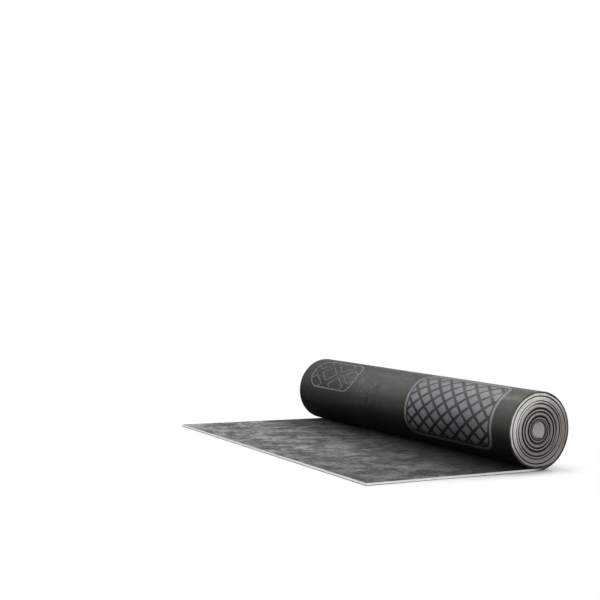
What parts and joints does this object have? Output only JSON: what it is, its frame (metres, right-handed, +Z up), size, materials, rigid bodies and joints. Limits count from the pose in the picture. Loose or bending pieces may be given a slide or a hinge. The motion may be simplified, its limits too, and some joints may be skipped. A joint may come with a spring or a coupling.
{
  "type": "roll of roofing felt",
  "caption": "Strip of roofing felt, partly unrolled: its free end lies flat and the rest is wound into a coil around an open bore.",
  "frame": {"origin": "on the ground, at the middle of the whole roll's width and of its length along the laid strip", "axes": "+X along the laid strip from its free end towards the coil, +Y along the coil's axis, +Z up"},
  "size_m": [0.5972, 1, 0.1945],
  "materials": {
    "felt": "matt bitumen felt"
  },
  "bodies": {
    "root": {"felt_strip": "felt"}
  },
  "joints": []
}
